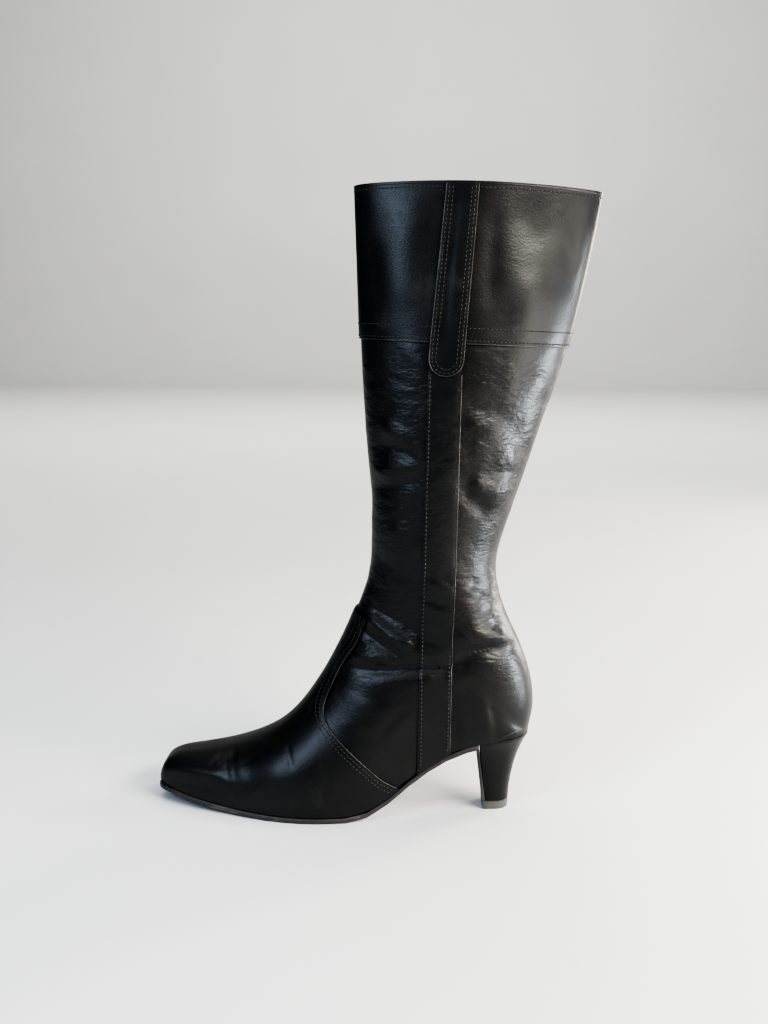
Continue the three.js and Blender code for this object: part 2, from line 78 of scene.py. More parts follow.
def drop_faces(piece, rule):
    activate(piece)
    bpy.ops.object.mode_set(mode="EDIT")
    bpy.ops.mesh.select_mode(type="FACE")
    bpy.ops.mesh.select_all(action="DESELECT")
    shape = bmesh.from_edit_mesh(piece.data)
    for face in shape.faces:
        face.select = rule(face)
    bmesh.update_edit_mesh(piece.data)
    bpy.ops.mesh.delete(type="FACE")
    bpy.ops.object.mode_set(mode="OBJECT")


def apply(piece, kind, **settings):
    activate(piece)
    modifier = piece.modifiers.new(kind.lower(), kind)
    for key, value in settings.items():
        setattr(modifier, key, value)
    bpy.ops.object.modifier_apply(modifier=modifier.name)


def refine(piece, levels):
    activate(piece)
    bpy.ops.object.mode_set(mode="EDIT")
    bpy.ops.mesh.select_all(action="SELECT")
    bpy.ops.mesh.tris_convert_to_quads(face_threshold=math.pi, shape_threshold=math.pi)
    bpy.ops.object.mode_set(mode="OBJECT")
    apply(piece, "SUBSURF", levels=levels, render_levels=levels)
    bpy.ops.object.shade_smooth()


def crosses_wall(face):
    """Whether a face joins the upper's outer and inner side."""
    return any(
        abs(edge.calc_length() - wall) < close
        and abs(edge.verts[0].co.z - edge.verts[1].co.z) < close
        for edge in face.edges
    )


shell = merged_node("upper", "shell")
drop_faces(shell, crosses_wall)
bpy.ops.object.mode_set(mode="EDIT")
bpy.ops.mesh.separate(type="LOOSE")
bpy.ops.object.mode_set(mode="OBJECT")
skin, lining = sorted(
    bpy.context.selected_objects, key=lambda piece: min(v.co.x for v in piece.data.vertices)
)
skin.name = "skin"
lining.name = "lining"
refine(skin, skin_levels)
refine(lining, lining_levels)

# The creases
# A worn shaft sags over the ankle, and the foot's flexing folds the vamp. Each fold was placed on
# the side view: its height in mm, below zero for a trough, its half width in mm, and the
# line that it follows, in X and Z.
folds = [
    (-0.99, 6, ((12, 310), (24, 305), (37, 296))),
    (1.05, 2.5, ((16, 297), (25, 294), (36, 291))),
    (-0.61, 2, ((4, 283), (17, 283), (29, 281))),
    (-1.4, 4, ((-25, 280), (-12, 274), (3, 268), (14, 262))),
    (1.57, 5, ((-24, 271), (-12, 268), (1, 264))),
    (-1.4, 2, ((-25, 262), (-12, 261), (2, 260), (22, 253))),
    (1.4, 4.5, ((-22, 257), (-7, 255), (3, 252))),
    (-0.7, 2, ((-25, 252), (-16, 251), (-1, 249))),
    (-1.75, 4, ((9, 255), (15, 249), (21, 247))),
    (1.57, 4.5, ((-20, 246), (1, 244), (12, 240))),
    (-0.7, 1.8, ((-24, 242), (-13, 240))),
    (-2.8, 4, ((-16, 232), (-5, 235), (6, 235), (16, 233))),
    (2.45, 6.5, ((-21, 229), (-7, 226), (6, 228))),
    (-3.5, 4, ((-27, 232), (-22, 224), (-16, 216), (-9, 211))),
    (1.05, 2.5, ((-7, 213), (2, 219), (14, 227))),
    (-1.4, 4.5, ((-4, 206), (7, 213), (11, 219))),
    (2.21, 5, ((-79, 266), (-65, 259), (-51, 250))),
    (-2.89, 5, ((-86, 251), (-70, 252), (-52, 245))),
    (2.38, 5.5, ((-85, 234), (-70, 236), (-49, 245))),
    (-2.38, 4, ((-84, 226), (-64, 231), (-49, 236))),
    (1.02, 6, ((-66, 318), (-56, 311), (-49, 301))),
    (1.02, 8, ((-72, 202), (-63, 189), (-53, 183))),
    (-1.02, 7, ((-84, 178), (-70, 171), (-55, 164))),
    (-1.92, 6.5, ((-89, 142), (-77, 140), (-63, 134), (-55, 128))),
    (2.56, 4.5, ((-90, 138), (-80, 132), (-68, 125), (-56, 120))),
    (-1.76, 3.5, ((-90, 127), (-77, 119), (-66, 114))),
    (1.76, 4.5, ((-99, 109), (-88, 112), (-74, 111))),
    (
        -3.68,
        4.5,
        (
            (-100, 104),
            (-83, 104),
            (-53, 106),
            (-37, 107),
            (-28, 110),
            (-15, 117),
            (0, 120),
            (11, 119),
        ),
    ),
    (2.56, 5, ((-30, 124), (-22, 126), (-11, 127), (0, 126), (10, 122))),
    (2.2, 15, ((-28, 66), (-14, 68), (-3, 70))),
    (0.72, 3.6, ((-28, 131), (-16, 137), (-2, 141))),
    (-0.8, 3.4, ((-28, 134), (-16, 141), (1, 148))),
    (0.64, 3.6, ((-28, 138), (-17, 145), (-4, 151))),
    (-0.78, 1.6, ((-52, 112), (-42, 112), (-31, 113))),
    (-0.52, 1.4, ((-51, 125), (-42, 124), (-31, 122))),
    (-0.65, 2.2, ((-51, 153), (-42, 151), (-32, 149))),
    (0.65, 2.6, ((-51, 150), (-42, 147), (-32, 143))),
    (-0.65, 2.2, ((-51, 168), (-40, 168), (-31, 163))),
    (0.52, 2.2, ((-51, 164), (-40, 163), (-31, 159))),
    (-0.52, 1.8, ((-51, 174), (-40, 172), (-31, 169))),
    (-1.4, 4.5, ((-20, 163), (-14, 160), (-8, 156))),
    (0.7, 2, ((-23, 159), (-12, 155), (-2, 152))),
    (-0.6, 1.6, ((-184, 36), (-183, 31), (-181, 24))),
    (-0.6, 1.6, ((-180, 39), (-179, 33), (-176, 24))),
    (-0.5, 1.5, ((-185, 32), (-184, 28), (-183, 25))),
    (-0.6, 1.6, ((-141, 50), (-139, 44), (-137, 37))),
    (-0.6, 1.5, ((-120, 43), (-118, 33), (-115, 19))),
    (-0.5, 1.5, ((-114, 40), (-113, 31), (-112, 21))),
    (-0.5, 1.5, ((-123, 38), (-122, 33), (-121, 28))),
    (-0.7, 10, ((-170, 39), (-167, 31), (-163, 21))),
    (0.6, 10, ((-154, 46), (-149, 38), (-145, 26))),
    (-0.5, 4, ((-79, 60), (-70, 70), (-62, 78))),
    (0.5, 5, ((-75, 58), (-66, 67), (-58, 75))),
    (1.0, 14, ((-84, 84), (-87, 74), (-89, 61))),
    (1.4, 12, ((16, 362), (12, 350), (10, 334))),
    (-1.2, 13, ((7, 406), (14, 394), (21, 381))),
    (0.9, 8, ((52, 404), (49, 384), (42, 354))),
    (-1.2, 8, ((30, 399), (37, 383), (41, 368), (40, 350))),
    (-1.0, 8, ((-8, 403), (-10, 372), (-11, 341))),
    (1.0, 14, ((-60, 406), (-65, 387), (-68, 369), (-64, 340))),
    (-0.8, 10, ((-86, 380), (-84, 356), (-81, 337))),
    (-0.9, 3, ((-31, 416), (-33, 387), (-38, 340), (-38, 325))),
    (0.5, 3, ((-28, 416), (-31, 387), (-35, 340))),
    (0.9, 3.6, ((-227, 23.5), (-219, 25), (-205, 25.5), (-184, 26))),
    (-0.5, 4, ((-228, 16), (-212, 16.5), (-188, 17))),
]
inner_side_share = 0.75  # the folds of the hidden inner side, after those of the outer side
fold_step = 4  # between the points of a fold, in mm
fold_reach = 3  # how far a fold is felt, in half widths
ridge_turn = 2  # a ridge is round on top
trough_turn = 1.6  # a trough is sharper
end_run = 5  # how steeply a fold grows from its ends
end_share = 0.25  # what is left of it there
settling = 3  # rounds that smooth the folds
own_share = 0.4  # of a place's own lift in each round
sag = 0.45 * mm  # soft unevenness of the whole shaft
broad_sag = 38  # its waves to the metre
narrow_sag = 90
foot_top = 80  # where the sag begins, and where it is full
ankle_top = 140
cuff_start = 300  # where the sag fades, and what the cuff still shows of it
cuff_full = 330
cuff_share = 0.12
rim_start = 412  # the rim keeps its shape
rim_full = 420
beside = 0.2  # metres, outside the boot


def smooth_line(points, step):
    """A curve through the points, with a point every step."""
    ends = [np.array(points[0]) * 2 - points[1], *points, np.array(points[-1]) * 2 - points[-2]]
    line = []
    for a, b, c, d in zip(ends, ends[1:], ends[2:], ends[3:]):
        a, b, c, d = (np.array(point, float) for point in (a, b, c, d))
        count = max(1, round(np.linalg.norm(c - b) / step))
        for i in range(count):
            t = i / count
            line.append(
                0.5
                * (
                    2 * b
                    + (c - a) * t
                    + (2 * a - 5 * b + 4 * c - d) * t**2
                    + (3 * b - a - 3 * c + d) * t**3
                )
            )
    line.append(np.array(points[-1], float))
    return line


def tree_of(piece):
    return BVHTree.FromObject(piece, bpy.context.evaluated_depsgraph_get())


def on_skin(tree, x, z, side):
    """The skin's place and normal at a point of the side view, on one side of the boot."""
    start = Vector((x, side * beside, z))
    place, normal, _, _ = tree.ray_cast(start, Vector((0, -side, 0)))
    return place, normal


def vertices_of(piece):
    flat = np.empty(len(piece.data.vertices) * 3)
    piece.data.vertices.foreach_get("co", flat)
    return flat.reshape(-1, 3)


def normals_of(piece):
    flat = np.empty(len(piece.data.vertices) * 3)
    piece.data.vertices.foreach_get("normal", flat)
    return flat.reshape(-1, 3)


def move_vertices(piece, places):
    piece.data.vertices.foreach_set("co", places.ravel())
    piece.data.update()


def fold_lift(places, tree):
    """How far the creases move each place out, in metres."""
    lift = np.zeros(len(places))
    for depth, width, line in folds:
        for side, share in ((-1, 1.0), (1, inner_side_share)):
            hits = [on_skin(tree, x * mm, z * mm, side)[0] for x, z in smooth_line(line, fold_step)]
            path = np.array([hit for hit in hits if hit is not None])
            if len(path) < 2:
                continue
            reach = fold_reach * width * mm
            near = np.all((places > path.min(0) - reach) & (places < path.max(0) + reach), axis=1)
            spots = places[near]
            nearest = np.full(len(spots), np.inf)
            ends = np.zeros(len(spots))
            for i, (a, b) in enumerate(zip(path, path[1:])):
                run = b - a
                t = np.clip((spots - a) @ run / (run @ run), 0, 1)
                away = np.linalg.norm(spots - a - t[:, None] * run, axis=1)
                closer = away < nearest
                nearest[closer] = away[closer]
                ends[closer] = (i + t[closer]) / (len(path) - 1)
            fade = np.clip(end_run * np.minimum(ends, 1 - ends) + end_share, 0, 1)
            turn = ridge_turn if depth > 0 else trough_turn
            section = np.exp(-((nearest / (width * mm)) ** turn))
            lift[near] += share * depth * mm * fade * section
    return lift


def uneven(place):
    broad = noise.noise(Vector(place) * broad_sag)
    return broad + 0.5 * noise.noise(Vector(place) * narrow_sag)


def evened(piece, lift):
    """The lift averaged with that of the neighbours, so that no fold follows the mesh."""
    flat = np.empty(len(piece.data.edges) * 2, dtype=np.int32)
    piece.data.edges.foreach_get("vertices", flat)
    first, second = flat.reshape(-1, 2).T
    count = np.bincount(flat, minlength=len(lift))
    for _ in range(settling):
        total = np.bincount(first, lift[second], len(lift))
        total += np.bincount(second, lift[first], len(lift))
        lift = own_share * lift + (1 - own_share) * total / count
    return lift


def rising(heights, low, high):
    """0 below one height in mm, 1 above the other, and even between them."""
    return np.clip((heights / mm - low) / (high - low), 0, 1)


def crease(piece, tree, outward):
    """Fold the skin, or the lining, whose faces look the other way and lie a wall deeper."""
    places = vertices_of(piece)
    heights = places[:, 2]
    above_foot = rising(heights, foot_top, ankle_top)
    below_cuff = 1 - (1 - cuff_share) * rising(heights, cuff_start, cuff_full)
    soft = np.array([uneven(place) for place in places]) * sag * above_foot * below_cuff
    from_skin = wall if outward < 0 else 0
    over = places + outward * normals_of(piece) * from_skin
    lift = (evened(piece, fold_lift(over, tree)) + soft) * (1 - rising(heights, rim_start, rim_full))
    move_vertices(piece, places + outward * normals_of(piece) * lift[:, None])


smooth_tree = tree_of(skin)
crease(skin, smooth_tree, 1)
crease(lining, smooth_tree, -1)
skin_tree = tree_of(skin)

# The black leather
# Semi-gloss calf, dyed through and polished. Its grain is fine, the shaft is covered with small
# wrinkles where it sags, and light dust and scuffs grey it a little.


class Socket:
    """A value in a material that adds a Math node for each sum it is used in."""

    def __init__(self, finish, link):
        self.finish = finish
        self.link = link

    def sum(self, operation, first, second):
        return self.finish.add("ShaderNodeMath", {"operation": operation}, {0: first, 1: second})

    def __add__(self, other):
        return self.sum("ADD", self, other)

    def __sub__(self, other):
        return self.sum("SUBTRACT", self, other)

    def __mul__(self, other):
        return self.sum("MULTIPLY", self, other)

    def __rsub__(self, other):
        return self.sum("SUBTRACT", other, self)

    __radd__ = __add__
    __rmul__ = __mul__


class Finish:
    """One material. Every node but a sum comes from add."""

    def __init__(self, name):
        self.material = bpy.data.materials.new(name)
        self.material.use_nodes = True
        self.tree = self.material.node_tree
        self.shader = self.tree.nodes["Principled BSDF"]
        self.places = self.add("ShaderNodeTexCoord", {}, {}, "Object")

    def add(self, kind, settings, values, output=0):
        node = self.tree.nodes.new(kind)
        for key, value in settings.items():
            if key == "stops":
                ramp = node.color_ramp.elements
                while len(ramp) < len(value):
                    ramp.new(0.5)
                for stop, (place, shade) in zip(ramp, value):
                    stop.position = place
                    stop.color = (*shade, 1) if isinstance(shade, tuple) else (shade,) * 3 + (1,)
            else:
                setattr(node, key, value)
        for key, value in values.items():
            if isinstance(value, Socket):
                self.tree.links.new(value.link, node.inputs[key])
            else:
                node.inputs[key].default_value = value
        return Socket(self, node.outputs[output])

    def surface(self, **values):
        for key, value in values.items():
            name = key.replace("_", " ").title().replace("Ior", "IOR")
            if isinstance(value, Socket):
                self.tree.links.new(value.link, self.shader.inputs[name])
            else:
                self.shader.inputs[name].default_value = value
        return self.material

    def stretched(self, by):
        return self.add("ShaderNodeMapping", {}, {"Vector": self.places, "Scale": by})

    def noise(self, scale, detail, stretch=(1, 1, 1), roughness=0.5):
        place = self.stretched(stretch)
        values = {"Vector": place, "Scale": scale, "Detail": detail, "Roughness": roughness}
        return self.add("ShaderNodeTexNoise", {}, values)

    def ramp(self, value, *stops):
        return self.add("ShaderNodeValToRGB", {"stops": stops}, {"Fac": value})

    def along(self, axis):
        return self.add("ShaderNodeSeparateXYZ", {}, {"Vector": self.places}, "XYZ".index(axis))

    def mix(self, share, first, second):
        colours = {0: share, 6: first, 7: second}
        return self.add("ShaderNodeMix", {"data_type": "RGBA"}, colours, 2)

    def bump(self, height, strength, distance, below=None):
        values = {"Height": height, "Strength": strength, "Distance": distance}
        if below:
            values["Normal"] = below
        return self.add("ShaderNodeBump", {}, values)


deep_black = (0.0028, 0.003, 0.0036, 1)
soft_black = (0.006, 0.0059, 0.006, 1)
scuff_grey = (0.09, 0.085, 0.08, 1)
slack_by_height = (  # how wrinkled the leather is, after the height in metres
    (0.06, 0.1),
    (0.09, 0.2),
    (0.11, 1.0),
    (0.19, 0.6),
    (0.23, 1.0),
    (0.3, 0.6),
    (0.325, 0.1),
)


def black_leather(name, wrinkles, roughness, dust=0.0):
    finish = Finish(name)
    grain = finish.add(
        "ShaderNodeTexVoronoi",
        {"feature": "F1"},
        {"Vector": finish.places, "Scale": 850.0, "Randomness": 1.0},
    )
    pores = finish.noise(2000, 2)
    mottle = finish.noise(55, 4)
    slack = finish.ramp(finish.along("Z"), *slack_by_height)
    ripples = finish.noise(70, 4, (1, 1, 2.2), 0.6)
    lines = finish.add(
        "ShaderNodeTexNoise",
        {"noise_type": "RIDGED_MULTIFRACTAL"},
        {"Vector": finish.stretched((1, 1, 3.2)), "Scale": 85.0, "Detail": 3.0, "Distortion": 0.6},
    )
    low = finish.bump(slack * ripples, 0.7 * wrinkles, 1.8 * mm)
    low = finish.bump(slack * lines, 0.45 * wrinkles, 0.7 * mm, low)
    low = finish.bump(grain, 0.3, 0.14 * mm, low)
    relief = finish.bump(pores, 0.2, 0.07 * mm, low)
    scuffs = finish.ramp(finish.noise(38, 6, (1, 1, 1), 0.68), (0.56, 0.0), (0.7, 1.0))
    dusty = finish.ramp(finish.noise(900, 3), (0.5, 0.0), (0.72, 1.0))
    rubbed = scuffs * (0.35 + 0.65 * dusty) * (0.08 + dust)
    dyed = finish.mix(mottle, deep_black, soft_black)
    return finish.surface(
        base_color=finish.mix(rubbed, dyed, scuff_grey),
        roughness=roughness + 0.14 * mottle + 0.12 * scuffs,
        normal=relief,
        specular_ior_level=0.32,
    )


shaft_leather = black_leather("shaft_leather", 1.0, 0.3)
panel_leather = black_leather("panel_leather", 0.7, 0.3)
vamp_leather = black_leather("vamp_leather", 0.4, 0.31, 0.1)

# The shaft and quarters
# One layer of leather from under the cuff down to the sole. It stops a lap's width in front of the
# vamp's seam, because a maker cuts away what the vamp covers.
foot_length = 259
foot_back = 25.9
instep_top = 155
collar_top = 419.5
gap = 0.3
layer = 1.1
lap = 9
far = 300  # past the boot, in front, behind and beside it
round_angle = math.radians(45)  # edges flatter than this are shaded round


def along(share):
    """The X of a share of the foot's length, from the toe."""
    return foot_back - foot_length * (1 - share)


vamp_seam = [
    (along(share), instep_top * up)
    for share, up in (
        (0.526, 0.908),
        (0.554, 0.882),
        (0.55, 0.84),
        (0.53, 0.76),
        (0.508, 0.705),
        (0.488, 0.645),
        (0.471, 0.585),
        (0.456, 0.53),
        (0.449, 0.49),
        (0.449, 0.46),
        (0.46, 0.421),
        (0.487, 0.37),
        (0.525, 0.31),
        (0.561, 0.254),
        (0.597, 0.196),
        (0.632, 0.155),
        (0.66, 0.13),
    )
]
cuff_front = (-99.5, 322)
cuff_back = (62.1, 315.5)


def cuff_edge(x):
    share = (x - cuff_front[0]) / (cuff_back[0] - cuff_front[0])
    return cuff_front[1] + share * (cuff_back[1] - cuff_front[1])


def side_block(name, outline, from_y, to_y):
    """A cutting block with an outline of the side view."""
    mesh = bpy.data.meshes.new(name)
    corners = [(x * mm, from_y, z * mm) for x, z in outline]
    edges = [(i, (i + 1) % len(corners)) for i in range(len(corners))]
    mesh.from_pydata(corners, edges, [])
    block = bpy.data.objects.new(name, mesh)
    bpy.context.scene.collection.objects.link(block)
    activate(block)
    bpy.ops.object.mode_set(mode="EDIT")
    bpy.ops.mesh.select_all(action="SELECT")
    bpy.ops.mesh.edge_face_add()
    bpy.ops.mesh.extrude_region_move(TRANSFORM_OT_translate={"value": (0, to_y - from_y, 0)})
    bpy.ops.mesh.select_all(action="SELECT")
    bpy.ops.mesh.normals_make_consistent(inside=False)
    bpy.ops.object.mode_set(mode="OBJECT")
    return block


skive_reach = 3.0  # how far in from its edge a panel begins to thin


def skived(places, outline, depth):
    """How much a panel thins towards its outline, in mm, for places of the side view."""
    spots = places[:, [0, 2]] / mm
    nearest = np.full(len(spots), np.inf)
    corners = np.array(outline, float)
    for a, b in zip(corners, np.roll(corners, -1, 0)):
        run = b - a
        t = np.clip((spots - a) @ run / max(run @ run, 1e-9), 0, 1)
        nearest = np.minimum(nearest, np.linalg.norm(spots - a - t[:, None] * run, axis=1))
    return depth * (1 - np.clip(nearest / skive_reach, 0, 1)) ** 2


def cut_layer(name, outline, side, lift, thick, margin=14, skive=0.0):
    """A panel of the skin inside an outline of the side view, lifted off it and given its thickness."""
    panel = copy_of(skin, name)
    xs = [x for x, _ in outline]
    zs = [z for _, z in outline]
    low = Vector(((min(xs) - margin) * mm, 0, (min(zs) - margin) * mm))
    high = Vector(((max(xs) + margin) * mm, 0, (max(zs) + margin) * mm))

    def outside(face):
        place = face.calc_center_median()
        if side and place.y * side < -margin * mm:
            return True
        return not (low.x < place.x < high.x and low.z < place.z < high.z)

    drop_faces(panel, outside)
    places = vertices_of(panel)
    out = (lift - skived(places, outline, skive)) * mm
    move_vertices(panel, places + normals_of(panel) * out[:, None])
    apply(panel, "SOLIDIFY", thickness=thick * mm, offset=-1, use_rim=True)
    from_y = 0 if side > 0 else -far * mm
    to_y = 0 if side < 0 else far * mm
    block = side_block(name + "_block", outline, from_y, to_y)
    apply(panel, "BOOLEAN", operation="INTERSECT", solver="MANIFOLD", object=block)
    bpy.data.objects.remove(block)
    activate(panel)
    bpy.ops.object.shade_smooth_by_angle(angle=round_angle)
    return panel


def finish_piece(piece, material, slot, *nodes):
    piece.data.materials.clear()
    piece.data.materials.append(material)
    if nodes:
        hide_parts(*nodes)
    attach(piece, "root")


hidden_seam = [(x - lap, z + 0.4 * lap) for x, z in vamp_seam]
throat = 150  # how high the vamp's front covers the shaft
throat_reach = 20
shaft_outline = [
    (-far, cuff_edge(-far) + lap),
    (-far, throat),
    (vamp_seam[0][0] - throat_reach, throat),
    *hidden_seam[1:],
    (vamp_seam[-1][0] - lap, 0),
    (far, 0),
    (far, cuff_edge(far) + lap),
]
shaft = cut_layer("shaft", shaft_outline, 0, 0, layer, margin=far)
finish_piece(shaft, shaft_leather, "black_leather", "upper")

# The vamp
# The forepart is one blocked panel over the toe, lapped over the quarters and closed with two rows
# of stitching that follow its curved edge.
vamp_line = [tuple(point) for point in smooth_line(vamp_seam, 2)]
vamp_top = 145
vamp_outline = [
    (-far, vamp_top),
    (vamp_seam[0][0], vamp_top),
    *vamp_line,
    (vamp_seam[-1][0], -far),
    (-far, -far),
]
vamp = cut_layer("vamp_panel", vamp_outline, 0, gap + layer, layer, skive=0.55)
finish_piece(vamp, vamp_leather, "black_leather", "vamp")

# The cuff
# A separate band of the same leather, cut wide for the calf. It is lapped over the top of the shaft
# and sewn down with two rows along its lower edge and one under its rim.
cuff_outline = [(-far, cuff_edge(-far)), (-far, 2 * far), (far, 2 * far), (far, cuff_edge(far))]
cuff = cut_layer("cuff_band", cuff_outline, 0, gap + layer, layer, skive=0.4)
finish_piece(cuff, panel_leather, "black_leather", "cuff")

# The side strips
# A long strip of leather down each side, from the cuff to the sole. It covers the seam between the
# front and the back of the shaft, and is sewn on close to its edges.
strip_width = 21.6
strip_rows = (
    (0.733, 0),
    (0.735, 0.143),
    (0.737, 0.277),
    (0.741, 0.366),
    (0.746, 0.553),
    (0.751, 0.719),
    (0.791, 1),
)


def strip_middle(z):
    ups = [collar_top * up for _, up in strip_rows]
    return along(np.interp(z, ups, [share for share, _ in strip_rows]))


def strip_line(offset, low, high):
    """A line down the strip, beside its middle, with a point every 3 mm."""
    heights = np.append(np.arange(low, high, 3.0), high)
    return [(strip_middle(z) + offset, z) for z in heights]


strip_front = -48  # where its edges meet the cuff
strip_back = -27
front_edge = strip_line(-strip_width / 2, 0, cuff_edge(strip_front) - gap)
back_edge = strip_line(strip_width / 2, 0, cuff_edge(strip_back) - gap)
strip_outline = front_edge + back_edge[::-1]
for side, side_name in ((-1, "lateral"), (1, "medial")):
    strip = cut_layer("strip_" + side_name, strip_outline, side, gap + layer, layer, skive=0.5)
    finish_piece(strip, panel_leather, "black_leather", "side_strip_" + side_name)

# The pull tabs
# A long tab with a round end hangs from the collar over cuff and strip. It is sewn down all round
# with two rows, so that the boot can be pulled on by it.
tab_width = 22
tab_top_width = 20.4
tab_length = 121
tab_radius = tab_width / 2
tab_end = collar_top - tab_length + tab_radius
past_collar = 3  # so that the tab is cut by the collar's own edge


def tab_outline(inset):
    """The tab's outline, or a line inside it."""
    radius = tab_radius - inset
    top = tab_top_width / 2 - inset
    left = (strip_middle(collar_top) - top, collar_top + past_collar)
    right = (strip_middle(collar_top) + top, collar_top + past_collar)
    turn = [
        (
            strip_middle(tab_end) + radius * math.cos(angle),
            tab_end + radius * math.sin(angle),
        )
        for angle in np.linspace(math.pi, 2 * math.pi, 25)
    ]
    return [left, *turn, right]


for side, side_name in ((-1, "lateral"), (1, "medial")):
    tab = cut_layer("tab_" + side_name, tab_outline(0), side, 2 * (gap + layer), layer, skive=0.5)
    finish_piece(tab, panel_leather, "black_leather", "pull_tab_" + side_name)

# The stitching
# Waxed black thread, about four stitches to the centimetre, worn a little paler than the leather.
# Each stitch is pulled down into the leather, between needle holes whose shade is painted as flat black
# spots.
stitch_pitch = 2.8
stitch_size = (1.9, 0.8, 0.6)  # along the seam, across it and off the leather
hole_size = (0.42, 1.35, 0.5)  # after a stitch
stitch_radius = 0.5 * mm


def trace(line, side, lift):
    """Points of the skin under a line of the side view, lifted off it, and its directions there."""
    places = []
    directions = []
    for x, z in line:
        place, normal = on_skin(skin_tree, x * mm, z * mm, side)
        if place is not None:
            places.append(np.array(place + normal * lift * mm))
            directions.append(np.array(normal))
    return np.array(places), np.array(directions)


calf_middle = -22


def trace_round(edge, lift):
    """The same round the calf, along an edge that gives a height for each X."""
    places = []
    directions = []
    middle = Vector((calf_middle * mm, 0, edge(calf_middle) * mm))
    slope = edge(1) - edge(0)
    for turn in np.radians(np.arange(0, 360, 0.6)):
        way = Vector((math.cos(turn), math.sin(turn), slope * math.cos(turn)))
        place, normal, _, _ = skin_tree.ray_cast(middle, way)
        if place is not None:
            normal = normal if normal.dot(way) > 0 else -normal
            places.append(np.array(place + normal * lift * mm))
            directions.append(np.array(normal))
    return np.array(places), np.array(directions)


shape = bmesh.new()
shape.from_mesh(skin.data)
rim_low = (collar_top - 6) * mm
rim_edge = [v.co.copy() for v in shape.verts if v.is_boundary and v.co.z > rim_low]
shape.free()
rim_middle = sum(rim_edge, Vector()) / len(rim_edge)
rim_edge.sort(key=lambda co: math.atan2(co.y - rim_middle.y, co.x - rim_middle.x))


def under_rim(drop, lift):
    """The line round the leg a little below its rim."""
    places = []
    directions = []
    for co in [*rim_edge, rim_edge[0]]:
        place, normal, _, _ = skin_tree.find_nearest(co - Vector((0, 0, drop * mm)))
        places.append(np.array(place + normal * lift * mm))
        directions.append(np.array(normal))
    return np.array(places), np.array(directions)


def spaced(places, directions, pitch):
    """The line's places and directions again, at even steps along it."""
    steps = np.linalg.norm(np.diff(places, axis=0), axis=1)
    run = np.concatenate([[0], np.cumsum(steps)])
    at = np.arange(pitch / 2, run[-1], pitch)
    return [
        np.stack([np.interp(at, run, values[:, i]) for i in range(3)], 1)
        for values in (places, directions)
    ]


bpy.ops.object.select_all(action="DESELECT")
bpy.ops.mesh.primitive_uv_sphere_add(segments=8, ring_count=5, radius=stitch_radius)
one_stitch = bpy.context.active_object
stitch_points = vertices_of(one_stitch) * np.array(stitch_size)
stitch_faces = [tuple(face.vertices) for face in one_stitch.data.polygons]
bpy.data.objects.remove(one_stitch)


def sew(name, rows, material, between=False, size=(1, 1, 1)):
    """Stitches along the rows, or the painted shade of the needle holes between them, as flat black
    spots.
    """
    points = []
    faces = []
    for places, directions in rows:
        places, directions = spaced(places, directions, stitch_pitch * mm)
        if between:
            places = (places[1:] + places[:-1]) / 2
            directions = directions[1:]
        forward = np.gradient(places, axis=0)
        for place, up, ahead in zip(places, directions, forward):
            up = up / np.linalg.norm(up)
            ahead = ahead - up * (ahead @ up)
            ahead = ahead / np.linalg.norm(ahead)
            turn = np.array([ahead, np.cross(up, ahead), up])
            start = len(points) * len(stitch_points)
            points.append(stitch_points * np.array(size) @ turn + place)
            faces += [tuple(start + i for i in face) for face in stitch_faces]
    mesh = bpy.data.meshes.new(name)
    mesh.from_pydata(np.concatenate(points).tolist(), [], faces)
    piece = bpy.data.objects.new(name, mesh)
    bpy.context.scene.collection.objects.link(piece)
    activate(piece)
    bpy.ops.object.shade_smooth()
    finish_piece(piece, material, "black_leather")


def grey(value):
    return (value, value, value, 1)


def warm_grey(value):
    return (value, value * 0.97, value * 0.93, 1)


def thread(name, dark, worn):
    yarn = Finish(name)
    twist = yarn.noise(1500, 2)
    return yarn.surface(
        base_color=yarn.mix(yarn.noise(120, 3), grey(dark), warm_grey(worn)),
        roughness=0.5 + 0.1 * twist,
        normal=yarn.bump(twist, 0.4, 0.1 * mm),
    )


waxed_thread = thread("waxed_thread", 0.005, 0.02)
worn_thread = thread("worn_thread", 0.012, 0.045)
# Painted shade: each needle hole is drawn as a flat, nearly black spot that stands for the shadow
# inside it.
painted_hole_shade = Finish("painted_hole_shade").surface(base_color=(0.001, 0.001, 0.001, 1), roughness=0.9)
proud = 0.05  # how far the middle of a stitch stands off its leather
on_panel = gap + layer + proud
on_tab = 2 * (gap + layer) + proud
vamp_insets = (2.4, 5.0)
cuff_insets = (2.2, 10.0)
hem_inset = 3.6
tab_insets = (2.0, 4.4)
strip_inset = 1.8
front_row_ends = (38, 298)
back_row_ends = (48, 116)


def shifted(line, distance):
    """A line moved sideways by a distance, to the left of its run."""
    points = np.array(line, float)
    run = np.gradient(points, axis=0)
    run /= np.linalg.norm(run, axis=1)[:, None]
    return [tuple(p + distance * np.array([-t[1], t[0]])) for p, t in zip(points, run)]


vamp_rows = []
for side in (-1, 1):
    for inset in vamp_insets:
        seam = smooth_line(vamp_seam[1:-1], 1)
        vamp_rows.append(trace(shifted(seam, -inset), side, on_panel))
sew("vamp_stitches", vamp_rows, waxed_thread)
sew("vamp_painted_hole_shade", vamp_rows, painted_hole_shade, True, hole_size)
cuff_rows = [trace_round(lambda x, up=up: cuff_edge(x) + up, on_panel) for up in cuff_insets]
cuff_rows.append(under_rim(hem_inset, on_panel))
sew("cuff_stitches", cuff_rows, waxed_thread)
sew("cuff_painted_hole_shade", cuff_rows, painted_hole_shade, True, hole_size)
tab_rows = []
for side in (-1, 1):
    for inset in tab_insets:
        tab_line = [p for p in smooth_line(tab_outline(inset), 1) if p[1] < collar_top - 2]
        tab_rows.append(trace(tab_line, side, on_tab))
sew("tab_stitches", tab_rows, waxed_thread)
sew("tab_painted_hole_shade", tab_rows, painted_hole_shade, True, hole_size)
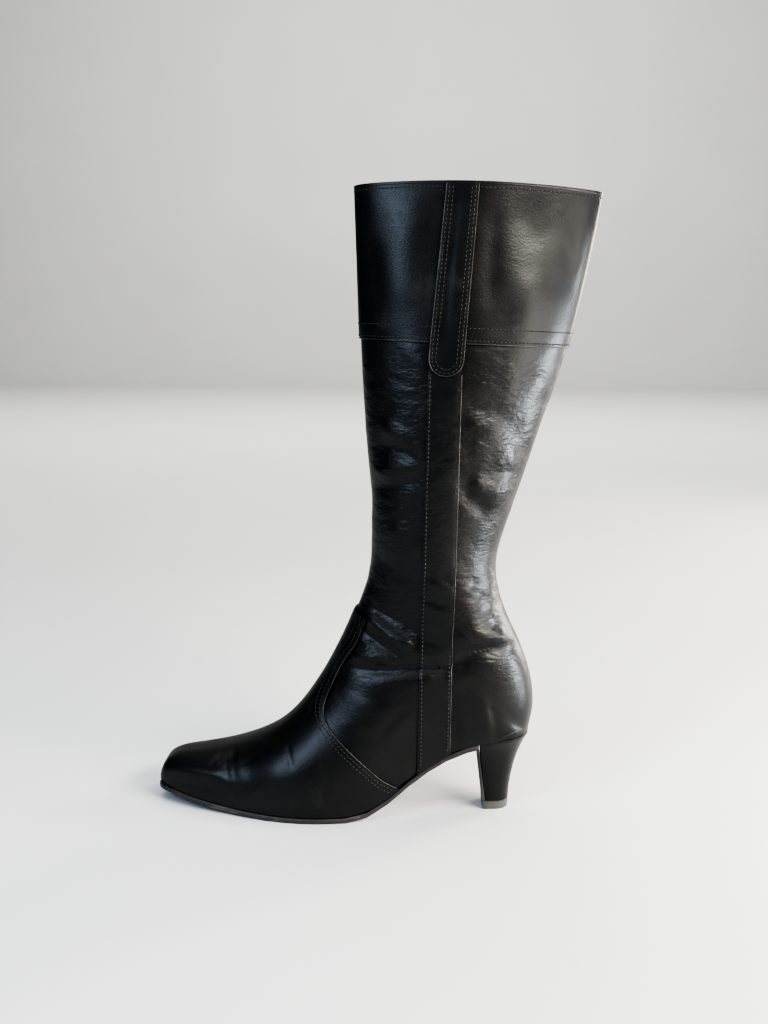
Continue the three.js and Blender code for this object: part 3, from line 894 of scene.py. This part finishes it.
strip_seams = []
row_reach = strip_width / 2 - strip_inset
for side in (-1, 1):
    strip_seams.append(trace(strip_line(-row_reach, *front_row_ends), side, on_panel))
    strip_seams.append(trace(strip_line(row_reach, *back_row_ends), side, on_panel))
sew("strip_stitches", strip_seams, worn_thread)
sew("strip_painted_hole_shade", strip_seams, painted_hole_shade, True, hole_size)

# The edges
# The panels' cut edges are skived, painted and burnished round, so they catch the light as fine
# lines. Their paint is drawn paler in patches, partly as wear and partly as a painted highlight
# along the edge.
edge_step = 1.2


def edge_line(name, rows, radius, material, closed=False):
    """A fine round line along an edge."""
    curve = bpy.data.curves.new(name, "CURVE")
    curve.dimensions = "3D"
    curve.bevel_depth = radius * mm
    curve.bevel_resolution = 2
    curve.use_fill_caps = True
    for places, directions in rows:
        places, _ = spaced(places, directions, edge_step * mm)
        spline = curve.splines.new("POLY")
        spline.points.add(len(places) - 1)
        spline.points.foreach_set("co", np.c_[places, np.ones(len(places))].ravel())
        spline.use_cyclic_u = closed
    piece = bpy.data.objects.new(name, curve)
    bpy.context.scene.collection.objects.link(piece)
    activate(piece)
    bpy.ops.object.convert(target="MESH")
    piece = bpy.context.active_object
    bpy.ops.object.shade_smooth()
    finish_piece(piece, material, "black_leather")


# Edge paint: the paler worn shade is partly real wear of the paint and partly a painted highlight where
# the edge catches the light.
def edge_paint(name, dark, worn):
    paint = Finish(name)
    wear_and_highlight = paint.ramp(paint.noise(90, 4), (0.4, 0.0), (0.65, 1.0))
    return paint.surface(base_color=paint.mix(wear_and_highlight, grey(dark), warm_grey(worn)), roughness=0.45)


dark_edge = edge_paint("dark_edge", 0.006, 0.03)
edge_wear_and_highlight = edge_paint("edge_wear_and_highlight", 0.015, 0.065)
edge_sink = 0.35
at_edge = gap + layer - edge_sink
tab_edge = on_tab - 0.4
vamp_edges = [trace(vamp_line[8:], side, at_edge) for side in (-1, 1)]
edge_line("vamp_edge", vamp_edges, 0.42, dark_edge)
cuff_edges = [trace_round(lambda x: cuff_edge(x) + gap, at_edge)]
edge_line("cuff_edge", cuff_edges, 0.4, dark_edge, True)
tab_round = [p for p in smooth_line(tab_outline(0.2), 1) if p[1] < collar_top]
tab_edges = [trace(tab_round, side, tab_edge) for side in (-1, 1)]
edge_line("tab_edges", tab_edges, 0.38, dark_edge)
rear_edge = strip_line(strip_width / 2 - 0.2, 42, 300)
strip_edges = [trace(rear_edge, side, at_edge) for side in (-1, 1)]
edge_line("strip_edges", strip_edges, 0.3, edge_wear_and_highlight)

# The counter's leather is tucked in over the heel's cover.
joint_line = ((-1, 54.9), (3.6, 57.2), (8.3, 59), (13, 60.3), (17, 60.6))
joint_rows = [trace(smooth_line(joint_line, 1), side, 0.05) for side in (-1, 1)]
edge_line("heel_joint", joint_rows, 0.22, edge_wear_and_highlight)

# The lining and the collar
# Thin lining leather is glued inside the whole shaft. Its top is caught under a folded strip of the
# black leather that binds the top of the boot.
lining_thickness = 0.6 * mm
apply(lining, "SOLIDIFY", thickness=lining_thickness, offset=-1, use_rim=True)
lining_skin = Finish("lining_leather")
soft_grain = lining_skin.noise(500, 4)
finish_piece(
    lining,
    lining_skin.surface(
        base_color=lining_skin.mix(soft_grain, (0.02, 0.018, 0.017, 1), (0.045, 0.04, 0.038, 1)),
        roughness=0.65 + 0.1 * soft_grain,
        normal=lining_skin.bump(soft_grain, 0.3, 0.3 * mm),
    ),
    "lining_leather",
)
fold_radius = 1.75
fold_drop = 1.2
fold_sink = 0.15
collar_line = [under_rim(fold_drop, -fold_sink)]
edge_line("collar_fold", collar_line, fold_radius, panel_leather, True)

# The insole
# A leather sock on a fibre board lies on the sole inside the foot. It is dark and matt, and the
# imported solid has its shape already.
insole_finish = Finish("insole_leather")
sock_grain = insole_finish.noise(400, 4)
insole_leather = insole_finish.surface(
    base_color=insole_finish.mix(sock_grain, (0.03, 0.026, 0.023, 1), (0.07, 0.062, 0.055, 1)),
    roughness=0.7 + 0.1 * sock_grain,
    normal=insole_finish.bump(sock_grain, 0.4, 0.3 * mm),
)
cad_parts["insole"].data.materials.clear()
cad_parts["insole"].data.materials.append(insole_leather)

# The sole
# Sole leather, stained dark and burnished, its edge scraped pale where it has met the ground. Its
# tail is turned down the front of the heel.
sharp = math.radians(50)
flat_enough = 0.6


def soften_edges(piece, width):
    """Break a piece's sharp edges with a small bevel."""
    activate(piece)
    bpy.ops.object.mode_set(mode="EDIT")
    bpy.ops.mesh.select_all(action="SELECT")
    bpy.ops.mesh.tris_convert_to_quads(face_threshold=flat_enough, shape_threshold=math.pi)
    bpy.ops.mesh.select_mode(type="EDGE")
    bpy.ops.mesh.select_all(action="DESELECT")
    bpy.ops.mesh.edges_select_sharp(sharpness=sharp)
    bpy.ops.mesh.bevel(offset=width * mm, segments=2, profile=0.5, clamp_overlap=True)
    bpy.ops.object.mode_set(mode="OBJECT")
    bpy.ops.object.shade_smooth_by_angle(angle=math.radians(40))


sole = merged_node("outsole", "sole")
soften_edges(sole, 0.25)
sole_finish = Finish("sole_leather")
fibre = sole_finish.noise(60, 6, (1, 1, 9), 0.7)
patches = sole_finish.ramp(sole_finish.noise(45, 5, (1, 1, 3), 0.7), (0.5, 0.0), (0.66, 1.0))
sole_height = sole_finish.along("Z")
scraped = sole_finish.ramp(sole_height, (0.0, 1.0), (0.006, 0.55), (0.012, 0.12), (0.03, 0.0))
stain = (0.012, 0.011, 0.0105, 1)
pale_stain = (0.03, 0.027, 0.025, 1)
flap_grey = (0.06, 0.058, 0.056, 1)
scraped_brown = (0.1, 0.088, 0.076, 1)
stained = sole_finish.mix(fibre, stain, pale_stain)
at_heel = sole_finish.ramp(10 * (sole_finish.along("X") + 0.05), (0.4, 0.0), (0.42, 1.0))
stained = sole_finish.mix(at_heel * (0.4 + 0.6 * fibre), stained, flap_grey)
finish_piece(
    sole,
    sole_finish.surface(
        base_color=sole_finish.mix(patches * scraped * 0.9, stained, scraped_brown),
        roughness=0.5 + 0.2 * patches,
        normal=sole_finish.bump(fibre, 0.3, 0.3 * mm),
    ),
    "sole_leather",
    "outsole",
)

# The heel
# A moulded heel covered with the same black leather, glued tight round its curved back. Its front
# is glued to the sole's flap, so it is drawn forward over the gap between the two.
glue_reach = 0.45
heel = merged_node("heel", "heel_block")
breast = normals_of(heel)[:, :1] < -0.7
move_vertices(heel, vertices_of(heel) - breast * np.array((glue_reach * mm, 0, 0)))
soften_edges(heel, 0.35)
heel_leather = black_leather("heel_leather", 0.15, 0.3, 0.1)
finish_piece(heel, heel_leather, "black_leather", "heel")

# The top piece
# Hard rubber nailed under the heel. It is black above, and ground grey and rough by walking
# towards the floor.
top_piece = merged_node("heel_top_piece", "top_piece")
soften_edges(top_piece, 0.3)
rubber = Finish("worn_rubber")
grit = rubber.noise(700, 5, (1, 1, 1), 0.7)
ground_down = rubber.ramp(rubber.along("Z"), (0.0, 1.0), (0.0045, 0.85), (0.006, 0.1))
black_rubber = (0.012, 0.0115, 0.011, 1)
grey_rubber = (0.085, 0.078, 0.072, 1)
finish_piece(
    top_piece,
    rubber.surface(
        base_color=rubber.mix(ground_down * (0.6 + 0.4 * grit), black_rubber, grey_rubber),
        roughness=0.75 + 0.15 * grit,
        normal=rubber.bump(grit, 0.6, 0.5 * mm),
    ),
    "top_piece_rubber",
    "heel_top_piece",
)
bpy.data.objects.remove(skin)

# The studio
# A plain pale floor that sweeps up behind the boot, a cool window light from the front left and a
# warm one from the right, and the camera where the photograph was taken.
floor_size = 8
floor_middle = 2.2
backdrop_height = 4
sweep = 1.2
bpy.ops.object.select_all(action="DESELECT")
bpy.ops.mesh.primitive_plane_add(size=floor_size, location=(0, floor_middle, 0))
floor = bpy.context.active_object
floor.name = "floor"
bpy.ops.object.mode_set(mode="EDIT")
bpy.ops.mesh.select_mode(type="EDGE")
bpy.ops.mesh.select_all(action="DESELECT")
shape = bmesh.from_edit_mesh(floor.data)
for edge in shape.edges:
    edge.select = all(vertex.co.y > 0 for vertex in edge.verts)
bmesh.update_edit_mesh(floor.data)
bpy.ops.mesh.extrude_region_move(TRANSFORM_OT_translate={"value": (0, 0, backdrop_height)})
bpy.ops.object.mode_set(mode="OBJECT")
apply(floor, "BEVEL", width=sweep, segments=12, angle_limit=math.radians(40))
bpy.ops.object.shade_smooth()
paper = Finish("pale_paper")
floor.data.materials.append(
    paper.surface(
        base_color=paper.mix(paper.noise(3, 2), (0.5, 0.505, 0.5, 1), (0.54, 0.545, 0.54, 1)),
        roughness=0.6,
    )
)

world = bpy.data.worlds.new("studio")
bpy.context.scene.world = world
world.use_nodes = True
room = world.node_tree.nodes["Background"].inputs
room["Color"].default_value = (0.86, 0.9, 0.95, 1)
room["Strength"].default_value = 0.03


def softbox(name, place, aim, size, power, colour):
    light = bpy.data.lights.new(name, "AREA")
    light.shape = "RECTANGLE"
    light.size, light.size_y = size
    light.energy = power
    light.color = colour
    lamp = bpy.data.objects.new(name, light)
    lamp.location = place
    lamp.rotation_euler = (Vector(aim) - Vector(place)).to_track_quat("-Z", "Y").to_euler()
    bpy.context.scene.collection.objects.link(lamp)


# Each lamp's place, the place it shines at, its width and height, its watts and its colour.
warm = (1.0, 0.93, 0.82)
softbox("window", (-1.3, -1.35, 1.2), (-0.05, 0, 0.35), (0.8, 1.1), 31, (0.64, 0.79, 1.0))
softbox("warm_side", (0.7, -0.5, 0.24), (0.0, 0, 0.1), (0.16, 0.3), 2.6, warm)
softbox("warm_high", (1.4, -1.15, 1.25), (0, 0, 0.2), (1.5, 0.45), 88, (1.0, 0.94, 0.85))
softbox("warm_back", (1.2, 1.0, 0.5), (0, 0, 0.22), (0.4, 0.8), 26, warm)
softbox("counter_glint", (0.72, -0.06, 0.13), (0.03, 0, 0.08), (0.12, 0.26), 7.0, (0.9, 0.94, 1.0))
softbox("front_top", (-0.3, -1.3, 1.9), (-0.05, 0, 0.15), (1.0, 0.5), 8, (0.8, 0.9, 1.0))
softbox("ceiling", (0, 0.9, 2.4), (0, 0.9, 0), (2.6, 2.0), 52, (1.0, 0.99, 0.97))
softbox("backdrop", (0, 2.2, 2.6), (0, 5.5, 0.9), (3.5, 1.0), 170, (1.0, 0.98, 0.95))

photo_height = 1024  # pixels
focal_pixels = 1250
sensor = 36
camera_turn = Euler((0, 0, math.radians(2))).to_matrix()
camera_tilt = Euler((math.radians(81), 0, 0)).to_matrix()
camera_roll = Euler((0, 0, math.radians(0.3))).to_matrix()
camera_data = bpy.data.cameras.new("camera")
camera_data.lens = focal_pixels / photo_height * sensor
camera_data.clip_start = 0.01
camera = bpy.data.objects.new("camera", camera_data)
camera.location = (-0.0490, -0.8337, 0.3377)
camera.rotation_euler = (camera_turn @ camera_tilt @ camera_roll).to_euler()
bpy.context.scene.collection.objects.link(camera)
bpy.context.scene.view_settings.look = "AgX - Very High Contrast"
bpy.context.scene.camera = camera
